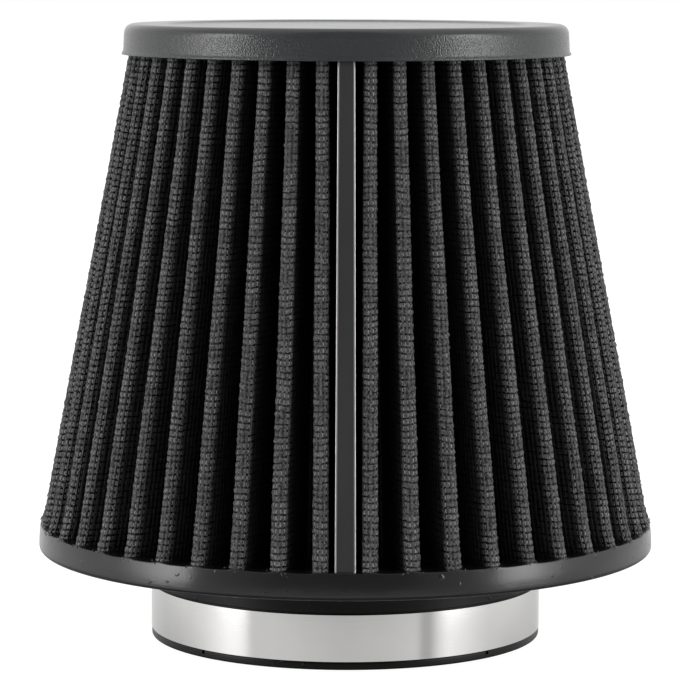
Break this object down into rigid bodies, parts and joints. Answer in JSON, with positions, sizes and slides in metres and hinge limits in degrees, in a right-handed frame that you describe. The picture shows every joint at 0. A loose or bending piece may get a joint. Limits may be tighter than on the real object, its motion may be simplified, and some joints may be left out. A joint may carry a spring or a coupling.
{
  "type": "cone air filter",
  "caption": "Tapered pleated air filter with black wire-screened folds, moulded rubber end cap and base ring, and a round neck held by a worm-drive clamp.",
  "frame": {"origin": "on the neck's axis, in the plane of its mouth, which the filter stands on", "axes": "+Z along the axis from the mouth to the cap, -Y towards the seam strip, the clamp's screw along X at +Y"},
  "size_m": [0.173, 0.173, 0.1718],
  "materials": {
    "cap_urethane": "satin",
    "base_rubber": "satin",
    "screen_wire": "satin",
    "media": "matte",
    "seam_metal": "satin",
    "strip_film": "satin",
    "clamp_steel": "polished",
    "screw_steel": "satin"
  },
  "bodies": {
    "filter": {"top_cap": "cap_urethane", "base_flange": "base_rubber", "outer_screen": "screen_wire", "filter_media": "media", "inner_screen": "screen_wire", "seam_clip": "seam_metal", "seam_label": "strip_film", "clamp_band": "clamp_steel", "clamp_saddle": "clamp_steel", "clamp_housing": "clamp_steel"},
    "screw": {"clamp_screw": "screw_steel"}
  },
  "joints": [
    {"name": "clamp_screw_turn", "type": "hinge", "parent": "filter", "child": "screw", "pos_m": [0, 0.06029, 0.00865], "axis": [1, 0, 0], "continuous": true}
  ]
}
